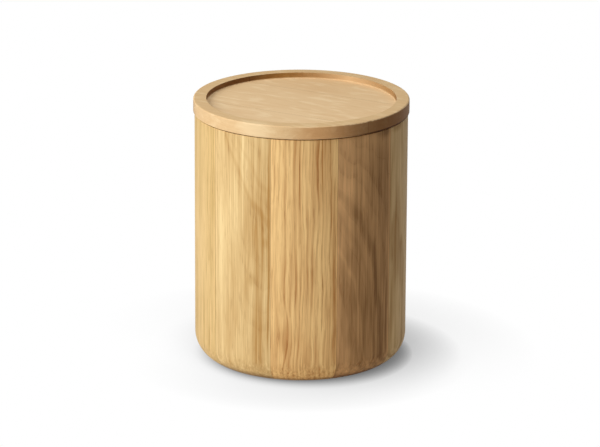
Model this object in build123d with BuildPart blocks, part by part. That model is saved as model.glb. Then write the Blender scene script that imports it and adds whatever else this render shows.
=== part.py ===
from build123d import *

import os
from math import cos, radians, sin

# A turned oak canister with a lift-off lid, in millimetres.
#
# The body is coopered: mitred staves are glued edge to edge into a ring, and the ring is then
# turned round inside and out. The bottom corner is turned to a large round, which runs off the
# staves onto the base. The base is three boards glued edge to edge. Its upper part stands out as
# a tongue into a groove, the croze, cut round the inside of the staves, so it can swell there.
#
# The lid is three boards glued edge to edge and turned as one disc. Its top has a shallow recess
# inside a flat rim, and its spigot drops into the mouth of the body. Its underside is cut back a
# little at the edge, which leaves a thin open line above the body all round. A silicone ring with
# two lips lies in a groove round the spigot and seals against the mouth.
#
# The origin is the centre of the face that the canister stands on. +Z is up, and -Y is the side
# that the photograph shows.

# Body
BODY_DIAMETER = 158.0
BODY_HEIGHT = 188.9
WALL = 10.0
STAVE_COUNT = 10
FIRST_SEAM_ANGLE = -106.2  # the seam left of the middle in the photograph, from +X
FOOT_ROUND = 19.5
SEAM_BEVEL = 0.3  # on both sides of the line between body and lid
MOUTH_BEVEL = 0.8

# Base, held by its tongue in the croze
BASE_THICKNESS = 16.0
BASE_BOARD_WIDTH = 52.0
BASE_GRAIN_ANGLE = 0.0
BASE_EDGE_GAP = 0.2
TONGUE_THICKNESS = 5.0
TONGUE_TOP_GAP = 0.2
TONGUE_END_GAP = 0.4
CROZE_DEPTH = 4.0

# Lid
LID_OVERHANG = 1.0
LID_EDGE_HEIGHT = 10.5
LID_EDGE_ROUND = 1.0
SHADOW_LINE = 0.8  # the open line under the lid's edge, outside the land that the lid rests on
SHADOW_LINE_DEPTH = 2.5  # from the lid's edge inward
LID_BOARD_WIDTH = 62.0
LID_GRAIN_ANGLE = -30.0
RIM_WIDTH = 9.6
RIM_ROUND = 1.6
RECESS_DEPTH = 4.2
RECESS_COVE = 1.0
SPIGOT_DEPTH = 9.0
SPIGOT_GAP = 1.5
SPIGOT_BEVEL = 1.0

# Silicone ring in the spigot's groove
SEAL_GROOVE_DEPTH = 2.2
SEAL_GROOVE_HEIGHT = 4.6
SEAL_GROOVE_LIFT = 2.2  # from the spigot's underside to the groove
SEAL_SIDE_GAP = 0.15  # between the ring and the groove's upper and lower faces
SEAL_BACK_GAP = 0.3  # between the ring and the groove's round wall
SEAL_FLUSH = 0.3  # how far the ring's back lies inside the spigot
SEAL_MOUTH_GAP = 0.3
SEAL_LIP_COUNT = 2
SEAL_LIP_ROOT = 1.1
SEAL_LIP_TIP = 0.5
SEAL_LIP_RISE = 0.5

# What follows from them
BODY_RADIUS = BODY_DIAMETER / 2
MOUTH_RADIUS = BODY_RADIUS - WALL
STAVE_ANGLE = 360 / STAVE_COUNT
LID_RADIUS = BODY_RADIUS + LID_OVERHANG
LID_TOP = BODY_HEIGHT + LID_EDGE_HEIGHT
CROZE_LEVEL = BASE_THICKNESS - TONGUE_THICKNESS
SPIGOT_RADIUS = MOUTH_RADIUS - SPIGOT_GAP
SPIGOT_BOTTOM = BODY_HEIGHT - SPIGOT_DEPTH
GROOVE_BOTTOM = SPIGOT_BOTTOM + SEAL_GROOVE_LIFT
GROOVE_RADIUS = SPIGOT_RADIUS - SEAL_GROOVE_DEPTH

LOW_LEFT = (Align.MIN, Align.MIN)


def radial_plane(angle):
    """The upright plane through the axis at this angle from +X, with x outward and y up."""
    outward = (cos(radians(angle)), sin(radians(angle)), 0)
    across = (sin(radians(angle)), -cos(radians(angle)), 0)
    return Plane((0, 0, 0), x_dir=outward, z_dir=across)


def turned_outside():
    """Half the section of the body as one solid block, with the round at the foot."""
    with BuildSketch() as section:
        Rectangle(BODY_RADIUS, BODY_HEIGHT, align=LOW_LEFT)
        outer = section.vertices().group_by(Axis.X)[-1].sort_by(Axis.Y)
        fillet(outer[0], FOOT_ROUND)
        outer = section.vertices().group_by(Axis.X)[-1].sort_by(Axis.Y)
        chamfer(outer[-1], SEAM_BEVEL)
    return section.sketch


def stave_section():
    """The wall: the turned outside less the bore, with the croze and the mouth's bevel."""
    with BuildSketch() as section:
        add(turned_outside())
        Rectangle(MOUTH_RADIUS, BODY_HEIGHT, align=LOW_LEFT, mode=Mode.SUBTRACT)
        mouth = section.vertices().group_by(Axis.Y)[-1].sort_by(Axis.X)
        chamfer(mouth[0], MOUTH_BEVEL)
        with Locations((MOUTH_RADIUS, CROZE_LEVEL)):
            Rectangle(
                CROZE_DEPTH,
                TONGUE_THICKNESS + TONGUE_TOP_GAP,
                align=LOW_LEFT,
                mode=Mode.SUBTRACT,
            )
    return section.sketch


def base_section():
    """The base: the turned outside where it lies inside the bore, with the tongue round it."""
    tongue_radius = MOUTH_RADIUS + CROZE_DEPTH - TONGUE_END_GAP
    with BuildSketch() as section:
        add(turned_outside())
        Rectangle(
            MOUTH_RADIUS - BASE_EDGE_GAP,
            BASE_THICKNESS,
            align=LOW_LEFT,
            mode=Mode.INTERSECT,
        )
        with Locations((0, CROZE_LEVEL)):
            Rectangle(tongue_radius, TONGUE_THICKNESS, align=LOW_LEFT)
    return section.sketch


def lid_section():
    """The lid: the edge disc with its recess, and the spigot with the ring's groove."""
    with BuildSketch() as section:
        with Locations((0, BODY_HEIGHT)):
            Rectangle(LID_RADIUS, LID_EDGE_HEIGHT, align=LOW_LEFT)
        with Locations((LID_RADIUS - SHADOW_LINE_DEPTH, BODY_HEIGHT)):
            Rectangle(SHADOW_LINE_DEPTH, SHADOW_LINE, align=LOW_LEFT, mode=Mode.SUBTRACT)
        outer = section.vertices().group_by(Axis.X)[-1].sort_by(Axis.Y)
        chamfer(outer[0], SEAM_BEVEL)
        outer = section.vertices().group_by(Axis.X)[-1].sort_by(Axis.Y)
        fillet(outer[-1], LID_EDGE_ROUND)
        with Locations((0, LID_TOP - RECESS_DEPTH)):
            Rectangle(
                LID_RADIUS - RIM_WIDTH,
                RECESS_DEPTH,
                align=LOW_LEFT,
                mode=Mode.SUBTRACT,
            )
        wall = (
            section.vertices()
            .filter_by(lambda v: abs(v.X - LID_RADIUS + RIM_WIDTH) < 1e-6)
            .sort_by(Axis.Y)
        )
        fillet(wall[0], RECESS_COVE)
        fillet(wall[-1], RIM_ROUND)
        with Locations((0, SPIGOT_BOTTOM)):
            Rectangle(SPIGOT_RADIUS, SPIGOT_DEPTH, align=LOW_LEFT)
        foot = section.vertices().group_by(Axis.Y)[0].sort_by(Axis.X)
        chamfer(foot[-1], SPIGOT_BEVEL)
        with Locations((GROOVE_RADIUS, GROOVE_BOTTOM)):
            Rectangle(
                SEAL_GROOVE_DEPTH,
                SEAL_GROOVE_HEIGHT,
                align=LOW_LEFT,
                mode=Mode.SUBTRACT,
            )
    return section.sketch


def seal_section():
    """The silicone ring: a flat back in the groove and lips that lean up to the mouth."""
    back_height = SEAL_GROOVE_HEIGHT - 2 * SEAL_SIDE_GAP
    back_inside = GROOVE_RADIUS + SEAL_BACK_GAP
    back_outside = SPIGOT_RADIUS - SEAL_FLUSH
    lip_end = MOUTH_RADIUS - SEAL_MOUTH_GAP
    bottom = GROOVE_BOTTOM + SEAL_SIDE_GAP
    pitch = (back_height - SEAL_LIP_ROOT) / (SEAL_LIP_COUNT - 1)
    with BuildSketch() as section:
        with Locations((back_inside, bottom)):
            Rectangle(back_outside - back_inside, back_height, align=LOW_LEFT)
        for lip in range(SEAL_LIP_COUNT):
            root = bottom + lip * pitch
            tip = root + SEAL_LIP_ROOT / 2 + SEAL_LIP_RISE - SEAL_LIP_TIP / 2
            with BuildLine():
                Polyline(
                    (back_inside, root),
                    (back_outside, root),
                    (lip_end, tip),
                    (lip_end, tip + SEAL_LIP_TIP),
                    (back_outside, root + SEAL_LIP_ROOT),
                    (back_inside, root + SEAL_LIP_ROOT),
                    close=True,
                )
            make_face()
    return section.sketch


def boards_across(middle_width, reach):
    """Where each of three glued boards lies across the grain, as a name, a start and an end."""
    edges = [-reach, -middle_width / 2, middle_width / 2, reach]
    return zip(("front", "middle", "back"), edges, edges[1:])


def turned_board(section, grain_angle, start, end):
    """One board of a glued and turned disc: the whole disc, cut to the board's own strip."""
    with BuildPart() as board:
        with BuildSketch(Plane.XZ):
            add(section)
        revolve(axis=Axis.Z)
        with BuildSketch(Plane.XY.rotated((0, 0, grain_angle))):
            with Locations((0, (start + end) / 2)):
                Rectangle(2 * LID_RADIUS, end - start)
        extrude(amount=LID_TOP, mode=Mode.INTERSECT)
    return board.part


def save(part, name):
    """Writes one piece as its own file, named for the piece."""
    part.label = name
    export_step(part, f"parts/{name}.step")


os.makedirs("parts", exist_ok=True)

# Staves: the wall's section turned through one stave's share of the circle, so each edge is a
# flat mitre that meets its neighbour face to face.
wall_section = stave_section()
for number in range(STAVE_COUNT):
    start = FIRST_SEAM_ANGLE + number * STAVE_ANGLE
    with BuildPart() as stave:
        with BuildSketch(radial_plane(start)):
            add(wall_section)
        revolve(axis=Axis.Z, revolution_arc=STAVE_ANGLE)
    save(stave.part, f"stave_{number + 1:02d}")

# Base boards
disc_section = base_section()
for place, start, end in boards_across(BASE_BOARD_WIDTH, MOUTH_RADIUS + CROZE_DEPTH):
    save(turned_board(disc_section, BASE_GRAIN_ANGLE, start, end), f"base_board_{place}")

# Lid boards, with their grain turned as the photograph shows it
cover_section = lid_section()
for place, start, end in boards_across(LID_BOARD_WIDTH, LID_RADIUS):
    save(turned_board(cover_section, LID_GRAIN_ANGLE, start, end), f"lid_board_{place}")

# Sealing ring
with BuildPart() as lid_seal:
    with BuildSketch(Plane.XZ):
        add(seal_section())
    revolve(axis=Axis.Z)
save(lid_seal.part, "lid_seal")
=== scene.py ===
# %% [markdown]
# # A turned oak canister
#
# The canister is a ring of ten glued oak staves with a round foot, closed by a lid of three glued
# boards. Its shape is finished before this script starts: every piece comes from the packed
# model, at its real size and in its real place. What is left is how it looks, which is mostly the
# wood.
#
# The script loads the model, reads the sizes that the wood has to follow, places the camera,
# builds one recipe for oak, gives each wooden piece its own cut of it, dresses the silicone ring,
# and sets up the white table and the lamps.

import math

import bpy
from mathutils import Euler, Matrix, Vector


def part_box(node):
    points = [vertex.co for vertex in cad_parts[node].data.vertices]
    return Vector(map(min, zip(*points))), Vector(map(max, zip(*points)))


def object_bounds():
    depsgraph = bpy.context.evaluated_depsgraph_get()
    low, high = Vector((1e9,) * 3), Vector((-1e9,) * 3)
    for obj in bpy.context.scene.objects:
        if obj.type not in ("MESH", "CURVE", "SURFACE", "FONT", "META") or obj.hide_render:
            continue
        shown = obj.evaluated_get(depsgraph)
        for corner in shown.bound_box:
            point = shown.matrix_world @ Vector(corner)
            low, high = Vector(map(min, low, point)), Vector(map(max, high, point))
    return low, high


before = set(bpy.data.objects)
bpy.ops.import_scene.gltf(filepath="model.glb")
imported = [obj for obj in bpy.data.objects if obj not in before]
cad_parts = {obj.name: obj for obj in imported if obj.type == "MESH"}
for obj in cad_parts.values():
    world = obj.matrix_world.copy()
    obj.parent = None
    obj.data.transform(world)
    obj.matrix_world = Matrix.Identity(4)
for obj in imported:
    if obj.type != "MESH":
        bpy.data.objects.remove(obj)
cad_low, cad_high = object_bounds()
print("model box in mm:", [round(1000 * v) for v in cad_high - cad_low])

# %% [markdown]
# Wood is drawn in millimetres here, because a ring or a pore has a size that can be measured.
# The radius and the height of the body are read off the front stave, which reaches furthest
# towards the camera, and the staves share the circle evenly. The lid is the widest piece, so the
# box of the whole model gives its radius. Some sizes can't be read off a box, so they are written
# down: where the first seam is, how wide the middle boards of the lid and the base are and which
# way their grain runs, and how wide and deep the lid's rim stands round its recess.

# %% Sizes that the wood follows
MM = 0.001
STAVES = sorted(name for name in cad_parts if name.startswith("stave_"))
BOARDS = ("front", "middle", "back")
BODY_RADIUS = -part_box(STAVES[0])[0].y / MM
BODY_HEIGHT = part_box(STAVES[0])[1].z / MM
LID_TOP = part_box("lid_board_middle")[1].z / MM
LID_RADIUS = cad_high.x / MM
STAVE_ANGLE = 360 / len(STAVES)
FIRST_SEAM = -106.2  # degrees from +X, where the first stave starts
LID_BOARD = 62.0
LID_GRAIN = -30.0  # degrees from +X
LID_RIM = 9.6
LID_RECESS = 4.2
BASE_BOARD = 52.0
BASE_GRAIN = 0.0
print("body radius and height in mm:", round(BODY_RADIUS, 1), round(BODY_HEIGHT, 1))

# %% [markdown]
# Colours are written as sRGB hex, the way a paint chart or a picture editor gives them. The
# renderer counts in linear light, so one function turns them.

# %% Colours
def linear(code):
    """The linear colour of an sRGB hex code, such as "#e0bd8b"."""
    parts = [int(code[i : i + 2], 16) / 255 for i in (1, 3, 5)]
    parts = [c / 12.92 if c <= 0.04045 else ((c + 0.055) / 1.055) ** 2.4 for c in parts]
    return (*parts, 1.0)


print("a grey of #808080 sends back", round(linear("#808080")[0], 2), "of the light")

# %% [markdown]
# A material is a tree of nodes, and one function adds a node to it: it sets the node's options
# and gives each socket a number, a colour, or the node that feeds it. With it, a material reads
# as a list of steps. Two more start a material and give it to a piece of the model.

# %% Nodes and materials
def add(tree, kind, inputs=None, **options):
    """A new node. inputs maps a socket's number or identifier to a value, or to what feeds it."""
    node = tree.nodes.new("ShaderNode" + kind)
    for name, value in options.items():
        setattr(node, name, value)
    sockets = {socket.identifier: socket for socket in node.inputs}
    for key, value in (inputs or {}).items():
        socket = node.inputs[key] if isinstance(key, int) else sockets[key]
        if isinstance(value, bpy.types.Node):
            value = next(output for output in value.outputs if output.enabled)
        if isinstance(value, bpy.types.NodeSocket):
            tree.links.new(value, socket)
        else:
            socket.default_value = value
    return node


def new_material(name):
    """An empty material, and its node tree."""
    material = bpy.data.materials.new(name)
    material.use_nodes = True
    material.node_tree.nodes.clear()
    return material, material.node_tree


def dress(node, material):
    """Gives a piece of the model its finish."""
    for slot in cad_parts[node].material_slots:
        slot.material = material
    print(node, "is", material.name)


print("pieces to dress:", len(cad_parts))

# %% [markdown]
# The camera comes first, because everything else is judged through it. The photograph was taken
# with a long lens from well back, 17 degrees above the table: the sides of the canister hardly
# converge, and the lid is a flat ellipse. Fitting the outlines of the lid, the body and the foot
# gives the distance, the height and the lens. The distance and the aim are counted in radii of
# the body, so they would still hold for a canister of another size.

# %% Camera
CAMERA_DISTANCE = 37.27 * BODY_RADIUS * MM
CAMERA_ELEVATION = math.radians(17.23)
CAMERA_TARGET = Vector((-0.0075, 0, 1.288)) * BODY_RADIUS * MM
CAMERA_ROLL = math.radians(0.288)
SENSOR = 36
LENS = 236.7

camera = bpy.data.objects.new("camera", bpy.data.cameras.new("camera"))
bpy.context.scene.collection.objects.link(camera)
bpy.context.scene.camera = camera
camera.data.sensor_width = SENSOR
camera.data.lens = LENS
backward = Vector((0, -math.cos(CAMERA_ELEVATION), math.sin(CAMERA_ELEVATION)))
camera.location = CAMERA_TARGET + backward * CAMERA_DISTANCE
camera.rotation_mode = "QUATERNION"
aim = backward.to_track_quat("Z", "Y")
camera.rotation_quaternion = aim @ Euler((0, 0, CAMERA_ROLL)).to_quaternion()
print("camera stands at", [round(v, 3) for v in camera.location], "m")

# %% [markdown]
# ## Oak
#
# The object is oiled oak all over, so this is where the work goes. A tree adds one ring a year
# round its pith, and a board is a straight cut through those rings. A picture of wood wrapped
# round each stave would bend the grain round the corners and run across the glue lines. Instead
# the wood is solid: each piece gets a log of its own, and its faces cut the rings wherever they
# happen to be. A pith off to one side gives straight lines. A log that leans in or out of the
# stave gives the arches that joiners call cathedrals. End grain and the inside come by
# themselves.
#
# The first step is the log's own frame, with its origin on the pith and its Z along the trunk.

# %% The log that a piece was cut from
UP = Vector((0, 0, 1))


def log_frame(face, height, reach, lean=0.0, slant=0.0):
    """Turns mm in the log into mm in the model. face is the way from the canister's axis to the
    pith, in degrees from +X, and reach how far it is. The trunk stands up, and leans out that
    way by lean and sideways by slant, in degrees, about the given height."""
    turn = Matrix.Rotation(math.radians(face), 4, "Z")
    tilt = Euler((math.radians(slant), math.radians(lean), 0)).to_matrix().to_4x4()
    return turn @ Matrix.Translation((reach, 0, height)) @ tilt


def lying_log(grain, side, height, lean=0.0):
    """The same for a board that lies flat, with its grain at this many degrees from +X. The pith
    runs that far to the side of the canister's axis, at that height."""
    turn = Matrix.Rotation(math.radians(grain), 4, "Z")
    laid = Euler((0, math.radians(90 + lean), 0)).to_matrix().to_4x4()
    return turn @ Matrix.Translation((0, side, height)) @ laid


def trunk_way(log):
    """The way that the trunk runs in the model."""
    return (log.to_3x3() @ UP).normalized()


def log_coordinates(tree, log):
    """The node that gives each point of a piece its place in the log, in mm."""
    place, turn, _ = log.decompose()
    point = add(tree, "TexCoord").outputs["Object"]
    return add(tree, "Mapping", {
        "Vector": point, "Location": place * MM, "Rotation": turn.to_euler(),
        "Scale": (MM, MM, MM)}, vector_type="TEXTURE")


lid_trunk = trunk_way(lying_log(LID_GRAIN, 0, 0))
print("the trunk of the lid's boards runs along", [round(v, 2) for v in lid_trunk])

# %% [markdown]
# Nothing in wood is quite regular, and everything in it is long in the direction of the trunk. So
# one noise serves for the wander of the rings, the gaps in their lines, the fibres, the streaks,
# the broad patches, the pores and the flecks of the rays. What changes is mostly its two sizes,
# across the grain and along it.
#
# A real fibre is a fiftieth of a millimetre wide and can't show, so fibres are drawn as the
# bundles that the eye picks out. Spring pores are about 0.3 mm across, and they are drawn twice
# as wide, so that a pixel can hold them.

# %% Noise that follows the grain
# Each pattern is its size in mm across and along the grain, a number that sets it apart from the
# others, and how much fine detail it has.
WANDER = (38.0, 120.0, 0, 1.5)
GAP = (1.6, 60.0, 5, 2.0)
FIBRE = (0.9, 60.0, 10, 3.0)
STREAK = (3.0, 95.0, 20, 2.0)
PATCH = (17.0, 75.0, 30, 2.0)
PORE = (0.6, 14.0, 40, 1.0)
FLECK = (5.0, 18.0, 50, 1.0)
NOISE_LOW = 0.3  # a noise goes from 0 to 1, but is nearly always between these two
NOISE_HIGH = 0.7
SHIFT_Y = 2.7  # uneven steps, so that no two seeds look at the same stretch of noise
SHIFT_Z = 1.3


def grain_noise(tree, grain, pattern, seed):
    """Noise from about -1 to 1, stretched along the grain."""
    across, along, apart, detail = pattern
    seed = seed + apart
    shift = (seed, SHIFT_Y * seed + across, SHIFT_Z * seed - across)
    shrunk = add(tree, "VectorMath", {
        0: grain, 1: (1 / across, 1 / across, 1 / along), 2: shift}, operation="MULTIPLY_ADD")
    noise = add(tree, "TexNoise", {"Vector": shrunk, "Scale": 1.0, "Detail": detail})
    return add(tree, "MapRange", {
        "Value": noise, "From Min": NOISE_LOW, "From Max": NOISE_HIGH, "To Min": -1.0,
        "To Max": 1.0})


print("fibres are drawn", FIBRE[0], "mm wide, and pores", PORE[0], "mm")

# %% [markdown]
# No fibre is quite straight either. Each sways a little to the side every few centimetres, and its
# neighbours sway with it, which gives the lines their hand-drawn look.
#
# The rings may cut a stave at a slant, but its fibres run along it, because a stave is sawn along
# the fibres or it would snap. So a stave will have two frames. The rings follow the log, which may
# lean, and the fibres, the pores and the stains follow the same log stood upright. Both sway.

# %% Swaying fibres
SWAY = (11.0, 40.0)  # mm across and along
NOISE_MIDDLE = (0.5, 0.5, 0.5)
SWAY_GAIN = 5  # the noise seldom strays more than a fifth from its middle


def swaying(tree, grain, reach, seed):
    """The same place in the log, with the fibres swaying sideways by about reach, in mm."""
    across, along = SWAY
    shrunk = add(tree, "VectorMath", {
        0: grain, 1: (1 / across, 1 / across, 1 / along), 2: (seed, seed, seed)},
        operation="MULTIPLY_ADD")
    noise = add(tree, "TexNoise", {"Vector": shrunk, "Scale": 1.0, "Detail": 1.0})
    aside = add(tree, "VectorMath", {0: noise.outputs["Color"], 1: NOISE_MIDDLE},
                operation="SUBTRACT")
    most = SWAY_GAIN * reach
    return add(tree, "VectorMath", {0: aside, 1: (most, most, 0), 2: grain},
               operation="MULTIPLY_ADD")


print("fibres sway every", SWAY[1], "mm or so")

# %% [markdown]
# Some things are in one place only. Where a twig once grew, the rings bulge round it, and the
# wood there may be stained. Both are a soft spot in the log: a middle, a size across the grain, a
# size along it and a peak.
#
# The distance from the pith tells the year. The trunk was never quite straight, so the distance
# gets a slow wander, and the eyes, which are such spots, push it outwards in their middle.

# %% Distance from the pith
def soft_spot(tree, grain, log, spot):
    """A spot in the log, which falls from its peak in the middle to 0 at its edge."""
    centre, across, along, peak = spot
    middle = log.inverted() @ Vector(centre)
    offset = add(tree, "VectorMath", {0: grain, 1: middle}, operation="SUBTRACT")
    shrunk = add(tree, "VectorMath", {
        0: offset, 1: (1 / across, 1 / across, 1 / along)}, operation="MULTIPLY")
    away = add(tree, "VectorMath", {0: shrunk}, operation="LENGTH")
    return add(tree, "MapRange", {"Value": away, "To Min": peak, "To Max": 0.0},
               interpolation_type="SMOOTHERSTEP")


def pith_distance(tree, grain, log, seed, eyes, wander):
    """How far each point is from the pith, in mm, with the wander and the eyes in it."""
    flat = add(tree, "VectorMath", {0: grain, 1: (1, 1, 0)}, operation="MULTIPLY")
    distance = add(tree, "VectorMath", {0: flat}, operation="LENGTH")
    astray = grain_noise(tree, grain, WANDER, seed)
    distance = add(tree, "Math", {0: astray, 1: wander, 2: distance}, operation="MULTIPLY_ADD")
    for eye in eyes:
        bulge = soft_spot(tree, grain, log, eye)
        distance = add(tree, "Math", {0: distance, 1: bulge}, operation="ADD")
    return distance


print("the rings wander slowly, over", WANDER[1], "mm of the trunk")

# %% [markdown]
# Oak is ring-porous: each spring it grows a band of open pores, which the eye reads as a dark,
# broken line, and then a plain band of dense summer wood. Good years are wide and poor ones
# narrow, so the distance is stretched by a slow noise before it is cut into years, and each year
# draws its own strength. The ramp is one year, from spring on the left to winter on the right.

# %% Spring wood
YEAR = ((0.0, 1.0), (0.16, 0.85), (0.42, 0.25), (0.75, 0.0), (0.93, 0.25), (1.0, 1.0))
RUN = 5  # good years and poor ones come in runs of about this many
STRETCH = 3.0  # years, the most by which the slow noise can shift a ring
FAINT_YEAR = 0.3  # of 1, how strong the faintest year is
FAINT_LINE = 0.3  # of 1, what is left of a line where it breaks


def spring_wood(tree, grain, distance, ring, seed):
    """How much spring wood there is at each point, from 0 to 1."""
    slow = add(tree, "Math", {0: distance, 1: 1 / (RUN * ring), 2: seed}, operation="MULTIPLY_ADD")
    uneven = add(tree, "TexNoise", {"W": slow, "Scale": 1.0, "Detail": 2.0}, noise_dimensions="1D")
    years = add(tree, "Math", {0: distance, 1: ring}, operation="DIVIDE")
    years = add(tree, "Math", {0: uneven, 1: STRETCH, 2: years}, operation="MULTIPLY_ADD")
    season = add(tree, "Math", {0: years}, operation="FRACT")
    ramp = add(tree, "ValToRGB", {0: season})
    ramp.color_ramp.interpolation = "EASE"
    for position, value in YEAR:
        ramp.color_ramp.elements.new(position).color = (value, value, value, 1)
    ramp.color_ramp.elements.remove(ramp.color_ramp.elements[0])
    ramp.color_ramp.elements.remove(ramp.color_ramp.elements[-1])
    number = add(tree, "Math", {0: years}, operation="FLOOR")
    number = add(tree, "Math", {0: number, 1: seed}, operation="ADD")
    luck = add(tree, "TexWhiteNoise", {"W": number}, noise_dimensions="1D").outputs["Value"]
    strength = add(tree, "MapRange", {"Value": luck, "To Min": FAINT_YEAR, "To Max": 1.0})
    band = add(tree, "Math", {0: ramp, 1: strength}, operation="MULTIPLY")
    broken = add(tree, "MapRange", {
        "Value": grain_noise(tree, grain, GAP, seed), "From Min": -1.0, "To Min": FAINT_LINE})
    return add(tree, "Math", {0: band, 1: broken}, operation="MULTIPLY")


spring_share = sum((b[0] - a[0]) * (a[1] + b[1]) / 2 for a, b in zip(YEAR, YEAR[1:]))
print("spring wood takes", round(100 * spring_share), "% of a strong year")

# %% [markdown]
# A year of drought or frost leaves one line that is darker than all the others, and on a leaning
# cut it draws the arch that catches the eye. Such a year is a distance from the pith, half the
# width of its line and a strength. A mild year can leave a pale line, which is one with a
# strength below zero.
#
# An arch is tall because a slight lean cuts the rings at a slant. The print says how tall, for
# the stave left of the middle of the photograph, which shows faint arches.

# %% Years that stand out
ARCH_LEAN = 6.6  # degrees, how far the log of that stave leaned


def dark_year(tree, distance, year):
    """One dark line round the pith."""
    middle, width, strength = year
    off = add(tree, "Math", {0: distance, 1: middle}, operation="SUBTRACT")
    off = add(tree, "Math", {0: off}, operation="ABSOLUTE")
    return add(tree, "MapRange", {
        "Value": off, "From Max": width, "To Min": strength, "To Max": 0.0},
        interpolation_type="SMOOTHERSTEP")


arch = 1 / math.sin(math.radians(ARCH_LEAN))
print("at the tip of an arch, a ring of 1 mm is", round(arch, 1), "mm tall")

# %% [markdown]
# Two things depend on how a piece was cut. Across the end of a board the open pores drink the
# oil, so end grain is darker and redder. And where two pieces were glued, a hair of the glue
# shows as a thin dark line. The first follows from the angle between the surface and the trunk,
# the second from the distance to the plane of the joint.

# %% End grain and glue lines
END_STARTS = 0.65  # of 1, how squarely a face crosses the fibres where the dark tone starts
GLUE_WIDTH = 0.55  # mm, a real line is a third of that and wouldn't show


def facing(tree, way):
    """How squarely a face looks this way, or the opposite way, from 0 to 1."""
    normal = add(tree, "TexCoord").outputs["Normal"]
    squarely = add(tree, "VectorMath", {0: normal, 1: way}, operation="DOT_PRODUCT")
    return add(tree, "Math", {0: squarely}, operation="ABSOLUTE")


def end_grain(tree, log):
    """From 0 on the sides of the wood to 1 across its ends."""
    return add(tree, "MapRange", {
        "Value": facing(tree, trunk_way(log)), "From Min": END_STARTS},
        interpolation_type="SMOOTHSTEP")


def glue_line(tree, seams):
    """1 on a joint and 0 beside it. Each seam is a plane, as its normal and its offset in mm."""
    point = add(tree, "TexCoord").outputs["Object"]
    nearest = None
    for normal, offset in seams:
        off = add(tree, "VectorMath", {0: point, 1: normal / MM}, operation="DOT_PRODUCT")
        off = add(tree, "Math", {0: off, 1: offset}, operation="SUBTRACT")
        off = add(tree, "Math", {0: off}, operation="ABSOLUTE")
        if nearest:
            off = add(tree, "Math", {0: nearest, 1: off}, operation="MINIMUM")
        nearest = off
    return add(tree, "MapRange", {
        "Value": nearest, "From Max": GLUE_WIDTH / 2, "To Min": 1.0, "To Max": 0.0},
        interpolation_type="SMOOTHSTEP")


end_angle = math.degrees(math.asin(END_STARTS))
print("end grain starts where a face cuts the fibres at", round(end_angle), "degrees")

# %% [markdown]
# Some parts of the lid have a tone of their own, and two of them get painted shade. Each is found
# by its place and by the way that its face looks, so two measures of place come first: how far a
# point is from the canister's axis, and whether it lies above a height.

# %% Places on the lid
RECESS_RADIUS = LID_RADIUS - LID_RIM
RECESS_FLOOR = LID_TOP - LID_RECESS


def from_axis(tree):
    """How far each point is from the canister's axis, in m."""
    point = add(tree, "TexCoord").outputs["Object"]
    flat = add(tree, "VectorMath", {0: point, 1: (1, 1, 0)}, operation="MULTIPLY")
    return add(tree, "VectorMath", {0: flat}, operation="LENGTH")


def above(tree, height):
    """1 above this height in mm, and 0 below it."""
    point = add(tree, "TexCoord").outputs["Object"]
    level = add(tree, "SeparateXYZ", {0: point}).outputs["Z"]
    return add(tree, "Math", {0: level, 1: height * MM}, operation="GREATER_THAN")


print("wall of the recess:", round(RECESS_RADIUS, 1), "mm from the axis")

# %% [markdown]
# A disc that turns past a cutter is cut against its fibres in two quarters of the circle, between
# side grain and end grain. They are torn there, drink more oil, and look warmer. The way that a
# face looks has a share along the trunk and a share across it, and the product of the two finds
# those quarters: it is largest half way between side grain and end grain, and its sign tells
# whether the cutter went against the fibres or with them.

# %% Cut against the fibres
TORN_STARTS = 0.35  # the product where the wood starts to tear
TORN_FULLY = 0.5  # the largest that it gets, at 45 degrees


def slant_cut(tree, log):
    """0.5 where a face crosses the fibres at 45 degrees and was cut against them, -0.5 where it
    was cut with them, and 0 where it lies along them or square to them."""
    trunk = trunk_way(log)
    across = trunk.cross(UP).normalized()
    normal = add(tree, "TexCoord").outputs["Normal"]
    ahead, aside = (
        add(tree, "VectorMath", {0: normal, 1: way}, operation="DOT_PRODUCT").outputs["Value"]
        for way in (trunk, across))
    return add(tree, "Math", {0: ahead, 1: aside}, operation="MULTIPLY")


def torn_edge(tree, log):
    """1 in the quarters of the lid's edge that were cut against the fibres, and 0 elsewhere."""
    mask = add(tree, "MapRange", {
        "Value": slant_cut(tree, log), "From Min": TORN_STARTS, "From Max": TORN_FULLY},
        interpolation_type="SMOOTHSTEP")
    outer = add(tree, "Math", {0: from_axis(tree), 1: (LID_RADIUS - LID_RIM / 2) * MM},
                operation="GREATER_THAN")
    return add(tree, "Math", {0: mask, 1: outer}, operation="MULTIPLY")


torn_angle = math.degrees(math.asin(2 * TORN_STARTS)) / 2
print("torn wood starts", round(torn_angle), "degrees from side grain and from end grain")

# %% [markdown]
# The wall of the recess is darkened with painted shade, which starts in the round corner at the
# foot of the wall and ends where the wall rounds over to the rim. How dark it is goes round the
# wall with the cut: darkest where the wall was cut against the fibres at a slant, less dark where
# it was cut with them, and not darkened where it lies along them or square to them.

# %% Wall of the recess
CUT_AGAINST = 2.0  # these bring a slant cut of 0.5 to how dark it makes the wall
CUT_WITH = -1.5
CORNER_STARTS = 1.0  # mm inside the wall, where the painted shade in the corner starts
CORNER_ENDS = 0.2
ROUNDS_OVER = 0.5  # mm outside the wall
UNDER_FLOOR = 0.5  # mm, so that the whole corner counts as above the floor


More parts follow.
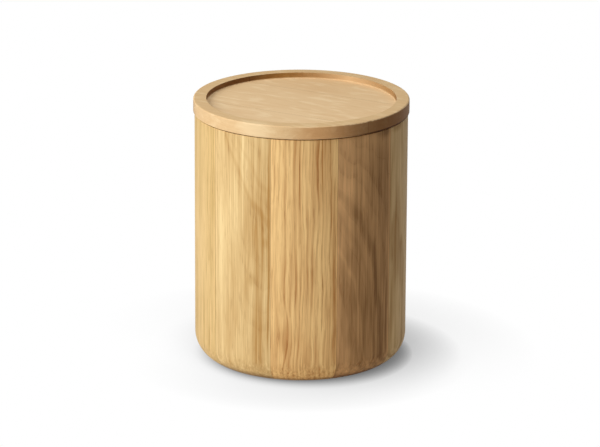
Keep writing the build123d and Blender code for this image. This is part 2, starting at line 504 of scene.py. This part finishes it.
def recess_wall_shade(tree, log):
    """How much painted shade darkens the wall of the recess and its corner, from 0 away from it
    to 1 where it was cut against the fibres at a slant."""
    slant = slant_cut(tree, log)
    torn = add(tree, "Math", {0: slant, 1: CUT_AGAINST}, operation="MULTIPLY")
    clean = add(tree, "Math", {0: slant, 1: CUT_WITH}, operation="MULTIPLY")
    mask = add(tree, "Math", {0: torn, 1: clean}, operation="MAXIMUM")
    # painted shade in the round corner at the foot of the wall
    corner = add(tree, "MapRange", {
        "Value": from_axis(tree), "From Min": (RECESS_RADIUS - CORNER_STARTS) * MM,
        "From Max": (RECESS_RADIUS - CORNER_ENDS) * MM}, interpolation_type="SMOOTHSTEP")
    edge = add(tree, "MapRange", {
        "Value": from_axis(tree), "From Min": RECESS_RADIUS * MM,
        "From Max": (RECESS_RADIUS + ROUNDS_OVER) * MM, "To Min": 1.0, "To Max": 0.0},
        interpolation_type="SMOOTHSTEP")
    for part in (corner, edge, above(tree, RECESS_FLOOR - UNDER_FLOOR)):
        mask = add(tree, "Math", {0: mask, 1: part}, operation="MULTIPLY")
    return mask


print("the wall's dark tone is", CORNER_STARTS + ROUNDS_OVER, "mm wide, seen from above")

# %% [markdown]
# The top of the rim is a little deeper in tone than the floor of the recess, because hands lift
# the lid there. And where the lid's side is end grain, its foot is darkened: painted shade that
# deepens the line between the lid and the body.

# %% Rim and foot of the lid's side
FLAT_STARTS = 0.5  # of 1, how squarely a face looks up where it starts to count as the rim's top
SIDE_DEPTH = 1.0  # mm in from the side that still count as the side
FOOT_HEIGHT = 1.6  # mm above the body
FOOT_STARTS = 0.75  # of the lid's radius, how far along the trunk the painted shade at the foot starts
FOOT_FULLY = 0.92


def rim_top(tree):
    """1 on the top of the rim, and 0 elsewhere."""
    mask = add(tree, "Math", {0: from_axis(tree), 1: RECESS_RADIUS * MM},
               operation="GREATER_THAN")
    flat = add(tree, "MapRange", {"Value": facing(tree, UP), "From Min": FLAT_STARTS})
    for part in (flat, above(tree, LID_TOP - LID_RECESS / 2)):
        mask = add(tree, "Math", {0: mask, 1: part}, operation="MULTIPLY")
    return mask


def lid_foot_shade(tree, log):
    """1 along the foot of the lid's side where it is end grain, which gets painted shade under the
    lid's edge, and 0 elsewhere.
    """
    point = add(tree, "TexCoord").outputs["Object"]
    ahead = add(tree, "VectorMath", {0: point, 1: trunk_way(log) / (LID_RADIUS * MM)},
                operation="DOT_PRODUCT")
    ahead = add(tree, "Math", {0: ahead}, operation="ABSOLUTE")
    mask = add(tree, "MapRange", {
        "Value": ahead, "From Min": FOOT_STARTS, "From Max": FOOT_FULLY},
        interpolation_type="SMOOTHSTEP")
    outer = add(tree, "Math", {0: from_axis(tree), 1: (LID_RADIUS - SIDE_DEPTH) * MM},
                operation="GREATER_THAN")
    low = add(tree, "Math", {0: 1.0, 1: above(tree, BODY_HEIGHT + FOOT_HEIGHT)},
              operation="SUBTRACT")
    for part in (outer, low):
        mask = add(tree, "Math", {0: mask, 1: part}, operation="MULTIPLY")
    return mask


# the foot here is the band of painted shade along the lid's lower edge
foot_angle = 2 * math.degrees(math.acos(FOOT_STARTS))
print("the oiled foot spans", round(foot_angle), "degrees at each end of the grain")

# %% [markdown]
# Now the recipe, in four steps. First, everything that makes wood pale or dark is mixed into one
# number, from 0 for the paler colour of a piece to 1 for its darker one. The rings, the fibres,
# the streaks and the patches go in by their share, and the stains, the years that stand out and
# the rays on top. A ray is a ribbon of cells that runs from the pith to the bark, and where a
# board is cut along it, it shows as a pale fleck.

# %% Pale and dark wood
MEAN_DEPTH = 0.4  # how dark a plain piece is on the whole
MEAN_SPRING = 0.25  # what spring wood averages, with its faint years and broken lines
FIBRE_SHARE = 0.13
STREAK_SHARE = 0.17
PATCH_SHARE = 0.12
FLECK_STARTS = 0.15  # of the noise, so that flecks lie apart
FLECK_FULLY = 0.9


def plain_depth(tree, along, spring, fibre, figure, contrast, seed):
    """How dark plain wood is, from its rings, fibres, streaks and patches."""
    even = MEAN_DEPTH - MEAN_SPRING * figure * contrast
    depth = add(tree, "Math", {0: spring, 1: figure * contrast, 2: even}, operation="MULTIPLY_ADD")
    for layer, share in (
        (fibre, FIBRE_SHARE),
        (grain_noise(tree, along, STREAK, seed), STREAK_SHARE),
        (grain_noise(tree, along, PATCH, seed), PATCH_SHARE),
    ):
        depth = add(tree, "Math", {0: layer, 1: share * contrast, 2: depth},
                    operation="MULTIPLY_ADD")
    return depth


def pale_flecks(tree, along, brightness, seed):
    """How much paler the rays make the wood."""
    return add(tree, "MapRange", {
        "Value": grain_noise(tree, along, FLECK, seed), "From Min": FLECK_STARTS,
        "From Max": FLECK_FULLY, "To Max": -brightness})


shares = FIBRE_SHARE + STREAK_SHARE + PATCH_SHARE
print("fibres, streaks and patches shift the depth by up to", round(shares, 2), "either way")

# %% [markdown]
# The second step is the pores. They are holes with a shadow in them: dark, rough and sunk. Most
# of them are in the spring wood.

# %% Pores
PORE_STARTS = 0.25  # of the noise
PORE_FULLY = 0.8
SUMMER_PORES = 0.2  # of 1, how much a pore shows in summer wood


def open_pores(tree, along, spring, seed):
    """From 0 between the pores to 1 in the middle of one."""
    holes = add(tree, "MapRange", {
        "Value": grain_noise(tree, along, PORE, seed), "From Min": PORE_STARTS,
        "From Max": PORE_FULLY}, interpolation_type="SMOOTHSTEP")
    share = add(tree, "Math", {0: spring, 1: 1 - SUMMER_PORES, 2: SUMMER_PORES},
                operation="MULTIPLY_ADD")
    return add(tree, "Math", {0: holes, 1: share}, operation="MULTIPLY")


print("a pore shows", round(1 / SUMMER_PORES), "times as much in spring wood")

# %% [markdown]
# The third step is the tints. Each is a colour that multiplies the wood's own, as a stain or a
# thin coat of oil does, and a mask that says where. Two of the lid's tints are painted shade
# instead: on the wall of the recess, and along the foot of the lid's side under its edge.

# %% Tints
PORE_COLOUR = "#a87f52"
PORE_TINT = 0.4
GLUE_COLOUR = "#8b6239"
GLUE_TINT = 0.65
END_COLOUR = "#a0856b"
# painted shade for the wall of the recess and the round corner at its foot
WALL_SHADE_COLOUR = "#b4996e"
RIM_COLOUR = "#f0ede4"
TORN_COLOUR = "#efdac8"
# painted shade along the foot of the lid's side, under its edge
FOOT_SHADE_COLOUR = "#8a7254"


def lid_tints_and_shade(tree, log):
    """The tints of the parts of the lid, with the painted shade of its recess wall and its foot.
    """
    return [
        (recess_wall_shade(tree, log), 1.0, WALL_SHADE_COLOUR),
        (rim_top(tree), 1.0, RIM_COLOUR),
        (torn_edge(tree, log), 1.0, TORN_COLOUR),
        (lid_foot_shade(tree, log), 1.0, FOOT_SHADE_COLOUR),
    ]


def tinted(tree, colour, tints):
    """The colour with the tints over it. Each is a mask, a strength and a hex code."""
    for mask, strength, tint in tints:
        amount = add(tree, "Math", {0: mask, 1: strength}, operation="MULTIPLY")
        colour = add(tree, "Mix", {
            "Factor_Float": amount, "A_Color": colour, "B_Color": linear(tint)},
            data_type="RGBA", blend_type="MULTIPLY")
    return colour


kept = [round(100 * v) for v in linear(END_COLOUR)[:3]]
print("end grain keeps", kept, "% of the wood's red, green and blue")

# %% [markdown]
# The last step is the surface. The canister was turned, sanded and oiled, and oiled oak hardly
# shines. Its fibres scatter the light, so the gloss of its resin, at an IOR of 1.5, is kept low,
# and the surface is rough. The pores are a tenth of a millimetre deep, and the fibres stand in a
# relief of an eighth of that.

# %% Oak
IOR = 1.5
GLOSS = 0.1
SANDED = 0.55  # roughness between the pores
PORE_ROUGHNESS = 0.2  # what a pore adds to it
PORE_DEPTH = 0.12  # mm
FIBRE_RELIEF = 0.12  # of a pore's depth
BUMP = 0.5  # of 1, how much of that relief the light shows


def oak(name, log, strands, pale, dark, seed, ring=2.6, figure=0.5, contrast=1.0, eyes=(),
        stains=(), years=(), wander=1.6, sway=0.4, flecks=0.0, on_lid=False, seams=()):
    """Oiled oak. log is the frame of its rings and strands the frame of its fibres, ring is the
    width of a year, wander how far it strays and sway how far the fibres do, in mm. figure is
    how bold the rings are, contrast how bold everything is, and flecks how bright the rays are.
    The rings bend at the eyes, the wood is darker at the stains and years, and it was glued at
    the seams."""
    material, tree = new_material(name)
    grain = swaying(tree, log_coordinates(tree, log), sway, seed)
    distance = pith_distance(tree, grain, log, seed, eyes, wander)
    spring = spring_wood(tree, grain, distance, ring, seed)
    along = swaying(tree, log_coordinates(tree, strands), sway, seed)
    fibre = grain_noise(tree, along, FIBRE, seed)

    depth = plain_depth(tree, along, spring, fibre, figure, contrast, seed)
    marks = [soft_spot(tree, along, strands, stain) for stain in stains]
    marks += [dark_year(tree, distance, year) for year in years]
    if flecks:
        marks.append(pale_flecks(tree, along, flecks, seed))
    for mark in marks:
        depth = add(tree, "Math", {0: depth, 1: mark}, operation="ADD")
    colour = add(tree, "Mix", {
        "Factor_Float": depth, "A_Color": linear(pale), "B_Color": linear(dark)},
        data_type="RGBA")

    pore = open_pores(tree, along, spring, seed)
    tints = [
        (pore, PORE_TINT * contrast, PORE_COLOUR),
        (end_grain(tree, log), 1.0, END_COLOUR),
        (glue_line(tree, seams), GLUE_TINT, GLUE_COLOUR),
    ]
    if on_lid:
        tints += lid_tints_and_shade(tree, log)
    colour = tinted(tree, colour, tints)

    relief = add(tree, "Math", {0: fibre, 1: FIBRE_RELIEF}, operation="MULTIPLY")
    relief = add(tree, "Math", {0: relief, 1: pore}, operation="SUBTRACT")
    bump = add(tree, "Bump", {"Height": relief, "Strength": BUMP, "Distance": PORE_DEPTH * MM})
    rough = add(tree, "Math", {0: pore, 1: PORE_ROUGHNESS, 2: SANDED}, operation="MULTIPLY_ADD")
    shader = add(tree, "BsdfPrincipled", {
        "Base Color": colour, "Roughness": rough, "IOR": IOR, "Specular IOR Level": GLOSS,
        "Normal": bump})
    add(tree, "OutputMaterial", {"Surface": shader})
    return material


print("the fibres stand up by", round(PORE_DEPTH * FIBRE_RELIEF, 3), "mm")

# %% [markdown]
# ## Staves
#
# The ten staves come from different boards, and the photograph shows five of them. Stains and
# eyes are put on a stave's outer face as they look from outside: degrees to the right of its
# middle and a height in mm, then the sizes across and along the grain, and the peak.

# %% Places on a stave
def upright(angle):
    """The level direction at this many degrees from +X."""
    return Vector((math.cos(math.radians(angle)), math.sin(math.radians(angle)), 0))


def on_stave(middle, spots):
    """The same spots, each with its centre as a point in mm. middle is the way that the middle of
    the stave faces, in degrees from +X."""
    placed = []
    for turn, height, across, along, peak in spots:
        centre = tuple(BODY_RADIUS * upright(middle + turn) + Vector((0, 0, height)))
        placed.append((centre, across, along, peak))
    return placed


print("a stave is", round(math.radians(STAVE_ANGLE) * BODY_RADIUS, 1), "mm wide")

# %% [markdown]
# Each stave is told how its log stood. A lean turns straight lines into arches. The pith may also
# lie on the far side of the canister, which is a reach below zero. The two seams of a stave are
# the upright planes where it was glued to its neighbours.

# %% Cut a stave
SEED_STEP = 3.7  # between the seeds of two staves, so that each has a pattern of its own


def cut_stave(number, turn, reach, lean, slant, eyes=(), stains=(), **look):
    """Cuts a stave from its log. turn is the way to the pith, in degrees from the stave's middle,
    reach is how far it is from the canister's axis, in mm, and lean and slant are how the trunk
    leaned. look is what else oak takes."""
    start = FIRST_SEAM + (number - 1) * STAVE_ANGLE
    middle = start + STAVE_ANGLE / 2
    log = log_frame(middle + turn, BODY_HEIGHT / 2, reach, lean, slant)
    strands = log_frame(middle + turn, BODY_HEIGHT / 2, reach)
    seams = [(upright(angle + 90), 0) for angle in (start, start + STAVE_ANGLE)]
    stave = STAVES[number - 1]
    dress(stave, oak(
        "oiled_oak_" + stave, log, strands, seed=SEED_STEP * number, seams=seams,
        eyes=on_stave(middle, eyes), stains=on_stave(middle, stains), **look))


first_middle = FIRST_SEAM + STAVE_ANGLE / 2
print("the middle of the first stave faces", round(first_middle, 1), "degrees from +X")

# %% [markdown]
# The stave in the middle of the photograph has straight dark lines, because its rings meet its
# face nearly square. They are wide apart and bold, and its fibres sway more than those of the
# other staves. A dark streak follows its right seam. Near its foot, a little left of its middle,
# a twig once grew. The rings bend round that eye, and the wood is stained there.

# %% The middle stave
cut_stave(
    1, pale="#f3cd90", dark="#b47c46", turn=54, reach=160, lean=0.6, slant=0.5, ring=3.4,
    figure=0.6, contrast=1.55, sway=0.7,
    eyes=[(-10, 40, 9, 30, 3.5)],
    stains=[(-10, 38, 9, 24, 0.3), (16.3, 110, 2.6, 130, 0.5), (2.4, 105, 4.5, 150, 0.2),
            (-12, 110, 10, 120, -0.1), (5, 20, 26, 36, 0.14), (-17.2, 100, 2, 240, -0.15)])

# %% [markdown]
# The next one to the right is browner. Its pith ran close to the canister's axis and leaned both
# ways, so one dark year draws the tall arch across it, with a pale year inside. It darkens to the
# right and towards the foot, and has three small stains at its left.
#
# The last stave that shows at the right is olive, with one dark year near the edge of the view.
# Both are darker right under the lid: painted shade below the lid's edge.

# %% Staves at the right
cut_stave(
    2, pale="#e6b682", dark="#85603a", turn=64.7, reach=-23.9, lean=6, slant=-11, wander=0.7,
    figure=0.15, contrast=1.05,
    stains=[(-12, 75, 11, 55, 0.15), (12, 80, 24, 170, 0.3), (-5, 80, 12, 150, 0.3),
            (-14, 146, 14, 22, -0.25), (-11, 97, 5, 14, 0.25), (-11, 35, 4, 14, 0.22),
            (-7, 62, 4, 16, 0.2), (15.2, 36, 1.6, 62, 0.4), (1, 45, 11, 85, 0.28),
            # the stain at 188 mm is painted shade under the lid's edge
            (8, 150, 10, 40, 0.12), (13, 188, 14, 7, 0.35)],
    years=[(92.9, 1.4, 0.25), (86.4, 0.7, -0.12), (90.0, 0.8, 0.08)])
cut_stave(
    3, pale="#dcbf90", dark="#a98250", turn=-10, reach=346, lean=1.2, slant=-3.8, figure=0.35,
    # its stain at 188 mm is painted shade under the lid's edge
    contrast=1.1, stains=[(-11, 188, 14, 6, 0.5)], years=[(266.7, 1.2, 0.4)])

# %% [markdown]
# Five staves stand at the back, where the photograph doesn't show them. They are cut from logs of
# the same kinds: two have arches, and three have straight lines.

# %% Staves at the back
cut_stave(
    4, pale="#efc98d", dark="#bd8a52", turn=40, reach=190, lean=1.0, slant=0.5, contrast=1.2)
cut_stave(
    5, pale="#e8c288", dark="#b5824d", turn=5, reach=210, lean=5.0, slant=0.5, figure=0.35,
    contrast=1.2)
cut_stave(
    6, pale="#f1ce94", dark="#c4935a", turn=-60, reach=170, lean=0.5, slant=0.4, contrast=1.3)
cut_stave(
    7, pale="#eac58b", dark="#ba8750", turn=8, reach=-210, lean=-5.5, slant=0, figure=0.35,
    contrast=1.2)
cut_stave(
    8, pale="#f0cb8f", dark="#c08e55", turn=70, reach=150, lean=0.5, slant=0.6, contrast=1.2)

# %% [markdown]
# The last stave that shows at the left is plain and pale. The one between it and the middle is
# pale at its own left and darker to the right, where it ends in a dark line along the seam, with
# two small spots of shade on the way. Its pith lay far behind the canister and leaned, so its
# faint arches point down along its right edge, and two of them stand out.

# %% Staves at the left
cut_stave(
    9, pale="#e5c58d", dark="#b9985a", turn=-75, reach=190, lean=0.4, slant=0.3, contrast=1.4)
cut_stave(
    10, pale="#efd49e", dark="#b58a50", turn=20, reach=-200, lean=-ARCH_LEAN, slant=0, ring=2.9,
    figure=0.07, contrast=1.25, wander=0.8,
    stains=[(4, 95, 11, 160, 0.22), (12.5, 100, 9, 150, 0.32), (11, 30, 13, 60, 0.22),
            (15, 110, 4, 7, 0.22), (7, 80, 5, 8, 0.22), (-14, 95, 9, 150, -0.35),
            (17.1, 90, 1.6, 260, 0.5)],
    years=[(281.3, 0.7, 0.16), (284.2, 0.6, 0.1)])

# %% [markdown]
# ## Base and lid
#
# The base and the lid are three boards each, which lie flat. So their logs lay flat too, with the
# pith below the boards, and the rings are gentle arcs. One frame serves for rings and fibres
# here. The base comes first: it shows only from inside and from below.

# %% Lying boards
def cut_boards(part, grain, width, pale, dark, seed, aside, height, lean=0.0, **look):
    """Cuts the three boards of the base or the lid. The pith of each ran that far aside of the
    board's middle, at that height, in mm. look is what else oak takes."""
    seams = [(upright(grain + 90), edge * width / 2) for edge in (-1, 1)]
    for number, place in enumerate(BOARDS):
        log = lying_log(grain, width * (number - 1) + aside, height, lean)
        dress(part + "_board_" + place, oak(
            "oiled_oak_" + part + "_" + place, log, log, pale, dark, seed + number, seams=seams,
            **look))


cut_boards("base", BASE_GRAIN, BASE_BOARD, "#efca8e", "#bd8b52", seed=50, aside=6, height=-60)

# %% [markdown]
# Seen by the camera, the lid's grain runs across the view, and 30 degrees towards the camera at
# its right end. So the side shows long grain at the left of the middle and end grain at the
# right, where it is much darker. The turned faces are sanded finer than the staves, and their
# figure is faint: fibres that sway, and the pale flecks of the rays. The side is palest a little
# left of the middle, and the floor of the recess is a little paler near the front and deeper at
# the far right.

# %% Lid
PALE_SIDE = tuple(LID_RADIUS * upright(-115) + Vector((0, 0, LID_TOP - 4)))
PALE_FLOOR = (-10, -36, RECESS_FLOOR)
DEEP_FLOOR = (18, 48, RECESS_FLOOR)
LID_STAINS = [(PALE_SIDE, 17, 22, -0.45), (PALE_FLOOR, 30, 45, -0.1), (DEEP_FLOOR, 45, 60, 0.17)]

cut_boards(
    "lid", LID_GRAIN, LID_BOARD, "#e9cda2", "#cb9f6a", seed=60, aside=-8, height=LID_TOP - 90,
    lean=0.8, figure=0.25, contrast=0.34, sway=1.3, flecks=0.25, on_lid=True, stains=LID_STAINS)

# %% [markdown]
# The ring in the lid's groove is food-safe silicone, moulded in one piece: a milky, soft white
# that lets a little light in. The mould leaves a very fine satin grain. That grain is about
# 0.05 mm, too fine to show, so it is drawn at 0.4 mm and kept faint.

# %% Silicone ring
SATIN = 0.4  # mm
CLOUD = 18  # mm, how broad the slow change of its white is
SATIN_RELIEF = 0.02  # mm
LIGHT_REACH = 1.5  # mm, how far light gets into it

material, tree = new_material("moulded_silicone")
point = add(tree, "TexCoord").outputs["Object"]
satin = add(tree, "TexNoise", {"Vector": point, "Scale": 1 / (SATIN * MM), "Detail": 2.0})
cloud = add(tree, "TexNoise", {"Vector": point, "Scale": 1 / (CLOUD * MM), "Detail": 2.0})
tone = add(tree, "Mix", {
    "Factor_Float": cloud, "A_Color": linear("#dcd8cb"), "B_Color": linear("#efece2")},
    data_type="RGBA")
rough = add(tree, "MapRange", {"Value": satin, "To Min": 0.4, "To Max": 0.55})
bump = add(tree, "Bump", {"Height": satin, "Strength": 0.3, "Distance": SATIN_RELIEF * MM})
shader = add(tree, "BsdfPrincipled", {
    "Base Color": tone, "Roughness": rough, "IOR": 1.43, "Normal": bump,
    "Subsurface Weight": 0.2, "Subsurface Scale": LIGHT_REACH * MM})
add(tree, "OutputMaterial", {"Surface": shader})
dress("lid_seal", material)

# %% [markdown]
# ## The white table
#
# The photograph stands the canister on a table so white that only a soft shade is left of it,
# close round the foot and mostly to the right. A lit white table would need so much light that
# the oak would bleach. So for what the camera sees, the table glows white by itself, and the
# shade comes from how much of its sky the canister hides.
#
# What a mirror or a clear glass would show of the table is white too, so the kinds of ray that
# see it glow are gathered first. The room uses the same mask.

# %% Rays that see the white room
def seen_directly(tree):
    """1 for rays of the camera and for what glossy and clear surfaces show, otherwise 0."""
    path = add(tree, "LightPath")
    seen = add(tree, "Math", {
        0: path.outputs["Is Camera Ray"], 1: path.outputs["Is Glossy Ray"]}, operation="MAXIMUM")
    return add(tree, "Math", {0: seen, 1: path.outputs["Is Transmission Ray"]},
               operation="MAXIMUM")


# %% [markdown]
# The sky has four parts: a near one at the front left, where the light comes from, one behind the
# canister, which gives the soft line under the front of the foot, a wide low one at the front
# left, and a very near one at the left, which draws the dark line where the foot's round meets
# the table. For light that bounces, the table is an ordinary pale surface, which warms the foot
# from below.

# %% Floor
SKY = (  # the way to the middle of each part, how near a thing hides it in m, and its share
    ((-0.62, -0.74, 0.24), 0.046, 0.8),
    ((-0.24, 0.95, -0.21), 0.057, 0.39),
    ((-0.45, -0.86, -0.25), 0.103, 0.49),
    ((-0.84, -0.45, 0.31), 0.0126, 1.0),
)
BOUNCE = (0.8, 0.75, 0.64, 1)
TABLE_SIZE = 12  # m, wide enough to reach past every view

bpy.ops.mesh.primitive_plane_add(size=TABLE_SIZE)
floor = bpy.context.object
floor.name = "floor"
material, tree = new_material("white_table")
shade = 1.0
for way, reach, share in SKY:
    tilted = add(tree, "CombineXYZ", dict(enumerate(way)))
    open_sky = add(tree, "AmbientOcclusion", {"Distance": reach, "Normal": tilted}, samples=16)
    level = add(tree, "Math", {0: open_sky.outputs["AO"], 1: share, 2: 1 - share},
                operation="MULTIPLY_ADD")
    shade = add(tree, "Math", {0: shade, 1: level}, operation="MULTIPLY")
white = add(tree, "Emission", {"Strength": shade})
bounce = add(tree, "BsdfDiffuse", {"Color": BOUNCE})
both = add(tree, "MixShader", {0: seen_directly(tree), 1: bounce, 2: white})
add(tree, "OutputMaterial", {"Surface": both})
floor.data.materials.append(material)
print("the canister shades the table up to", max(reach for _, reach, _ in SKY), "m away")

# %% [markdown]
# ## Light
#
# One large soft box stands to the left of the camera, well above the canister. It lights the left
# of the body and lets the right fall away into a deep, warm shade. A weak one on the far right
# lifts the last edge, and one overhead brightens the top of the lid. Each lamp's power is worked
# out from the level that it should give on a white surface that faces it, so that a level near 1
# renders a colour about as written.

# %% Lamps
LAMP_DISTANCE = 1.4  # m
LAMP_SIZE = 0.9


def softbox(name, azimuth, elevation, level):
    """A square lamp aimed at the canister, this many degrees to the right of the camera and above
    the table. level is what a white surface facing it sends back."""
    lamp = bpy.data.lights.new(name, "AREA")
    lamp.size = LAMP_SIZE
    lamp.energy = level * math.pi**2 * LAMP_DISTANCE**2
    made = bpy.data.objects.new(name, lamp)
    bpy.context.scene.collection.objects.link(made)
    turn = math.radians(azimuth)
    rise = math.radians(elevation)
    out = Vector((
        math.sin(turn) * math.cos(rise), -math.cos(turn) * math.cos(rise), math.sin(rise)))
    made.location = Vector((0, 0, BODY_HEIGHT / 2 * MM)) + out * LAMP_DISTANCE
    made.rotation_euler = out.to_track_quat("Z", "Y").to_euler()
    print(name, "gives", round(lamp.energy, 1), "W")


softbox("key_light", azimuth=-53, elevation=32, level=0.9)
softbox("edge_light", azimuth=100, elevation=15, level=0.05)
softbox("top_light", azimuth=0, elevation=85, level=0.45)

# %% [markdown]
# The room is a world of one colour. It looks white where it is seen, and lights the canister only
# a little from all round, so that the shaded side keeps its depth.

# %% Room
ROOM_LEVEL = 0.08

world = bpy.data.worlds.new("white_room")
bpy.context.scene.world = world
world.use_nodes = True
tree = world.node_tree
tree.nodes.clear()
level = add(tree, "MapRange", {"Value": seen_directly(tree), "To Min": ROOM_LEVEL})
sky = add(tree, "Background", {"Strength": level})
add(tree, "OutputWorld", {"Surface": sky})
print("the room lights the canister at a level of", ROOM_LEVEL)

# %% [markdown]
# The Standard view shows colours as they are, with no film curve, so a hex code can be compared
# with the render.

# %% Finish
bpy.context.scene.view_settings.view_transform = "Standard"
